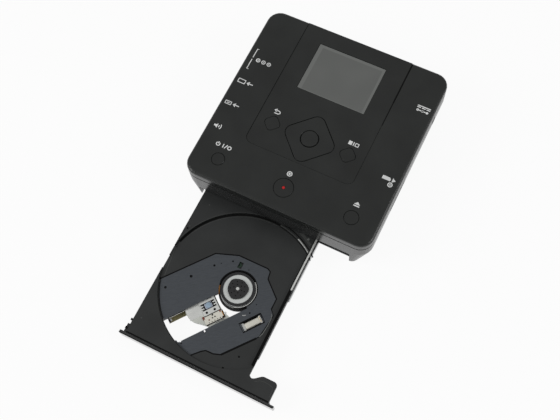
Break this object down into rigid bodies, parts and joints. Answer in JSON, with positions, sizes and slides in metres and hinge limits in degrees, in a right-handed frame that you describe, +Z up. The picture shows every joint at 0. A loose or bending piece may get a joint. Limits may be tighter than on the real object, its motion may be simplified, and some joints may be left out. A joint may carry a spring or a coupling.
{
  "type": "portable disc recorder",
  "caption": "Flat square disc recorder with a colour screen and a key panel on top, and a slim tray pulled out at the front with its spindle and laser sled in view.",
  "frame": {"origin": "on the floor, below the middle of the recorder's box with its tray pulled out", "axes": "+Z up, +Y from the tray's front to the back of the case, +X to the right seen from the front"},
  "size_m": [0.1566, 0.2874, 0.0444],
  "materials": {
    "satin_black": "satin moulded plastic",
    "gloss_black": "polished dark window",
    "key_black": "fine satin plastic",
    "tray_black": "moulded plastic, lightly grained",
    "screen_grey": "unlit screen under a polished sheet",
    "red_lamp": "clear red dot",
    "rubber": "matt rubber",
    "steel": "zinc-plated sheet",
    "bright_steel": "ground and polished steel",
    "blued_plate": "dark blue-grey coated sheet",
    "board_green": "coated circuit board",
    "cast_grey": "die-cast grey metal",
    "lens_glass": "coated clear lens",
    "flex_amber": "amber film",
    "flex_olive": "olive film",
    "pale_resin": "natural resin"
  },
  "bodies": {
    "case": {"lower_shell": "satin_black", "top_cover": "satin_black", "base_plate": "satin_black", "foot_1": "rubber", "foot_2": "rubber", "foot_3": "rubber", "foot_4": "rubber", "key_panel": "satin_black", "screen_window": "gloss_black", "lcd_glass": "screen_grey", "lcd_module": "steel", "key_board": "board_green", "main_board": "board_green", "sound_jack_1": "key_black", "sound_jack_2": "key_black", "sound_jack_3": "key_black", "video_port": "steel", "data_port": "steel", "power_inlet": "key_black", "card_socket": "steel", "drive_pan": "steel", "drive_lid": "steel", "drive_board": "board_green", "rail_guide_left": "pale_resin", "rail_guide_right": "pale_resin"},
    "tray_unit": {"tray": "tray_black", "tray_bezel": "satin_black", "traverse_frame": "key_black", "traverse_cover": "blued_plate", "spindle_base": "steel", "guide_rod_a": "bright_steel", "guide_rod_b": "bright_steel", "feed_motor": "pale_resin", "pickup_flex": "flex_olive", "spindle_flex": "flex_amber"},
    "turntable": {"rotor": "bright_steel", "friction_ring": "rubber", "hub": "key_black", "spindle_pin": "bright_steel"},
    "sled": {"pickup_sled": "cast_grey", "sled_nut": "pale_resin", "actuator_base": "steel", "pickup_board": "flex_amber"},
    "lens": {"lens_holder": "key_black", "objective_lens": "lens_glass"},
    "screw": {"lead_screw": "bright_steel"},
    "left_rail": {"rail_left": "steel"},
    "right_rail": {"rail_right": "steel"},
    "power_key": {"power_button": "key_black"},
    "record_key": {"record_button": "key_black", "record_lamp": "red_lamp"},
    "open_key": {"open_button": "key_black"},
    "back_key": {"back_button": "key_black"},
    "stop_key": {"stop_button": "key_black"},
    "ok_key": {"ok_button": "key_black"},
    "pad_cradle": {"nav_cradle": "pale_resin"},
    "pad": {"nav_pad": "key_black"}
  },
  "joints": [
    {"name": "tray_slide", "type": "slide", "parent": "case", "child": "tray_unit", "axis": [0, 1, 0], "range_m": [0, 0.129]},
    {"name": "rail_left_slide", "type": "slide", "parent": "case", "child": "left_rail", "axis": [0, 1, 0], "range_m": [0, 0.0645]},
    {"name": "rail_right_slide", "type": "slide", "parent": "case", "child": "right_rail", "axis": [0, 1, 0], "range_m": [0, 0.0645]},
    {"name": "turntable_spin", "type": "hinge", "parent": "tray_unit", "child": "turntable", "pos_m": [-0.001, -0.0753, 0.0141], "axis": [0, 0, 1], "continuous": true},
    {"name": "sled_slide", "type": "slide", "parent": "tray_unit", "child": "sled", "axis": [-0.607, -0.7947, 0], "range_m": [-0.002, 0.03]},
    {"name": "screw_turn", "type": "hinge", "parent": "tray_unit", "child": "screw", "pos_m": [0.01498, -0.10084, 0.0106], "axis": [-0.607, -0.7947, 0], "continuous": true},
    {"name": "lens_focus", "type": "slide", "parent": "sled", "child": "lens", "axis": [0, 0, 1], "range_m": [-0.0004, 0.0004], "stiffness_N_per_m": 60},
    {"name": "power_press", "type": "slide", "parent": "case", "child": "power_key", "axis": [0, 0, -1], "range_m": [0, 0.0004], "stiffness_N_per_m": 900, "springref_m": -0.0004},
    {"name": "record_press", "type": "slide", "parent": "case", "child": "record_key", "axis": [0, 0, -1], "range_m": [0, 0.0004], "stiffness_N_per_m": 900, "springref_m": -0.0004},
    {"name": "open_press", "type": "slide", "parent": "case", "child": "open_key", "axis": [0, 0, -1], "range_m": [0, 0.0004], "stiffness_N_per_m": 900, "springref_m": -0.0004},
    {"name": "back_press", "type": "slide", "parent": "case", "child": "back_key", "axis": [0, 0, -1], "range_m": [0, 0.0004], "stiffness_N_per_m": 900, "springref_m": -0.0004},
    {"name": "stop_press", "type": "slide", "parent": "case", "child": "stop_key", "axis": [0, 0, -1], "range_m": [0, 0.0004], "stiffness_N_per_m": 900, "springref_m": -0.0004},
    {"name": "ok_press", "type": "slide", "parent": "case", "child": "ok_key", "axis": [0, 0, -1], "range_m": [0, 0.0004], "stiffness_N_per_m": 900, "springref_m": -0.0004},
    {"name": "pad_rock_sides", "type": "hinge", "parent": "case", "child": "pad_cradle", "pos_m": [0, 0.0489, 0.0384], "axis": [0, 1, 0], "range_deg": [-1.5, 1.5], "stiffness_Nm_per_rad": 1.2},
    {"name": "pad_rock_ends", "type": "hinge", "parent": "pad_cradle", "child": "pad", "pos_m": [0, 0.0489, 0.0384], "axis": [1, 0, 0], "range_deg": [-1.5, 1.5], "stiffness_Nm_per_rad": 1.2}
  ],
  "couplings": [
    {"joint": "rail_left_slide", "follows": "tray_slide", "ratio": 0.5},
    {"joint": "rail_right_slide", "follows": "tray_slide", "ratio": 0.5},
    {"joint": "screw_turn", "follows": "sled_slide", "rad_per_m": 2094.4}
  ]
}
